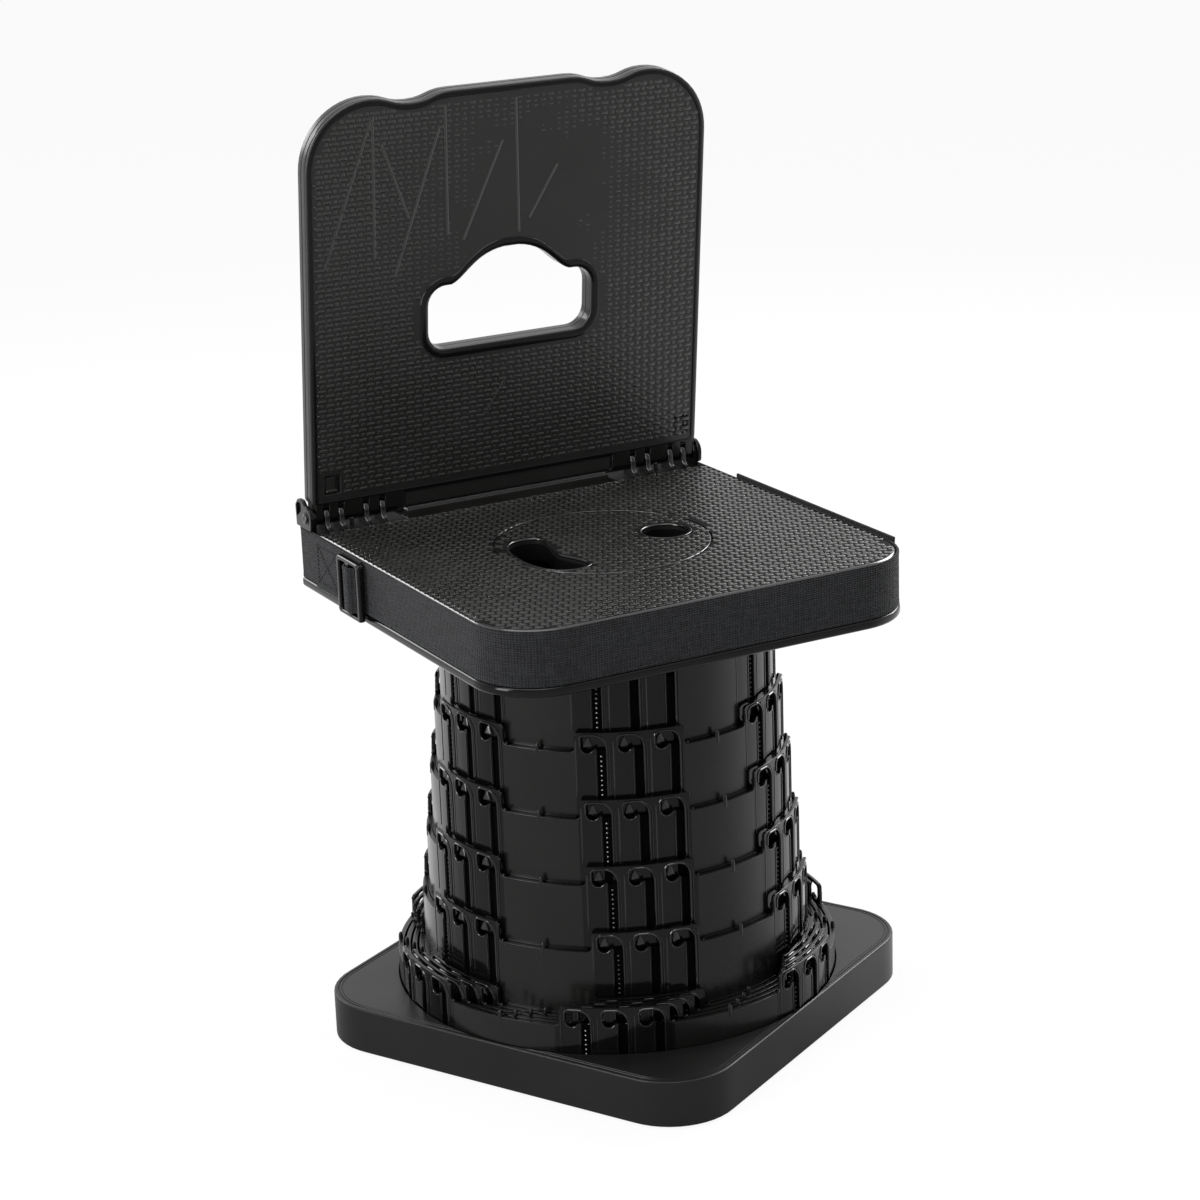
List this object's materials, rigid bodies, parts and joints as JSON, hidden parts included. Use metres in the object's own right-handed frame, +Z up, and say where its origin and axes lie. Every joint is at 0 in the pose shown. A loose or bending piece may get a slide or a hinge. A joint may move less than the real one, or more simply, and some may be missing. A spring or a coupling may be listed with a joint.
{
  "type": "telescopic folding stool",
  "caption": "Collapsible stool whose nested plastic rings raise a square seat, with a webbing band round it and a hinged backrest with a hand hole.",
  "frame": {"origin": "centre of the base on the plane of the floor that its feet rest on, on the column's axis", "axes": "+Z up along the column, +X along the backrest towards the round finger hole, +Y from the seat's front edge to its backrest"},
  "size_m": [0.3728, 0.3728, 0.6105],
  "materials": {
    "gloss_black_plastic": "gloss",
    "satin_black_plastic": "satin",
    "woven_black_plastic": "embossed weave, satin",
    "black_webbing": "woven",
    "black_rubber": "matt",
    "dark_steel": "dull"
  },
  "bodies": {
    "base": {"base_shell": "satin_black_plastic", "base_cover": "satin_black_plastic", "base_foot_1": "black_rubber", "base_foot_2": "black_rubber", "base_foot_3": "black_rubber", "base_foot_4": "black_rubber", "base_screw_1": "dark_steel", "base_screw_2": "dark_steel", "base_screw_3": "dark_steel", "base_screw_4": "dark_steel", "ring_9": "gloss_black_plastic"},
    "ring_body_8": {"ring_8": "gloss_black_plastic"},
    "ring_body_7": {"ring_7": "gloss_black_plastic"},
    "ring_body_6": {"ring_6": "gloss_black_plastic"},
    "ring_body_5": {"ring_5": "gloss_black_plastic"},
    "ring_body_4": {"ring_4": "gloss_black_plastic"},
    "ring_body_3": {"ring_3": "gloss_black_plastic"},
    "ring_body_2": {"ring_2": "gloss_black_plastic"},
    "ring_body_1": {"ring_1": "gloss_black_plastic"},
    "seat": {"seat_tray": "gloss_black_plastic", "seat_top": "woven_black_plastic", "seat_lid": "woven_black_plastic", "seat_screw_1": "dark_steel", "seat_screw_2": "dark_steel", "seat_screw_3": "dark_steel", "seat_screw_4": "dark_steel", "hinge_block_left": "gloss_black_plastic", "hinge_block_right": "gloss_black_plastic", "hinge_pin_left": "dark_steel", "hinge_pin_right": "dark_steel", "hinge_screw_1": "dark_steel", "hinge_screw_2": "dark_steel", "strap_band": "black_webbing", "strap_doubled": "black_webbing", "strap_tail": "black_webbing", "slide_buckle": "gloss_black_plastic"},
    "backrest": {"backrest_front": "satin_black_plastic", "backrest_rear": "satin_black_plastic", "backrest_screw_1": "dark_steel", "backrest_screw_2": "dark_steel", "backrest_screw_3": "dark_steel", "backrest_screw_4": "dark_steel"}
  },
  "joints": [
    {"name": "ring_8_slide", "type": "slide", "parent": "base", "child": "ring_body_8", "axis": [0, 0, 1], "range_m": [0, 0.043]},
    {"name": "ring_7_slide", "type": "slide", "parent": "ring_body_8", "child": "ring_body_7", "axis": [0, 0, 1], "range_m": [0, 0.043]},
    {"name": "ring_6_slide", "type": "slide", "parent": "ring_body_7", "child": "ring_body_6", "axis": [0, 0, 1], "range_m": [0, 0.043]},
    {"name": "ring_5_slide", "type": "slide", "parent": "ring_body_6", "child": "ring_body_5", "axis": [0, 0, 1], "range_m": [-0.043, 0]},
    {"name": "ring_4_slide", "type": "slide", "parent": "ring_body_5", "child": "ring_body_4", "axis": [0, 0, 1], "range_m": [-0.043, 0]},
    {"name": "ring_3_slide", "type": "slide", "parent": "ring_body_4", "child": "ring_body_3", "axis": [0, 0, 1], "range_m": [-0.043, 0]},
    {"name": "ring_2_slide", "type": "slide", "parent": "ring_body_3", "child": "ring_body_2", "axis": [0, 0, 1], "range_m": [-0.043, 0]},
    {"name": "ring_1_slide", "type": "slide", "parent": "ring_body_2", "child": "ring_body_1", "axis": [0, 0, 1], "range_m": [-0.043, 0]},
    {"name": "seat_twist", "type": "hinge", "parent": "ring_body_1", "child": "seat", "pos_m": [0, 0, 0.285], "axis": [0, 0, -1], "range_deg": [-28.6, 17.2]},
    {"name": "backrest_fold", "type": "hinge", "parent": "seat", "child": "backrest", "pos_m": [0, 0.133, 0.3345], "axis": [-1, 0, 0], "range_deg": [-84, 14]}
  ]
}
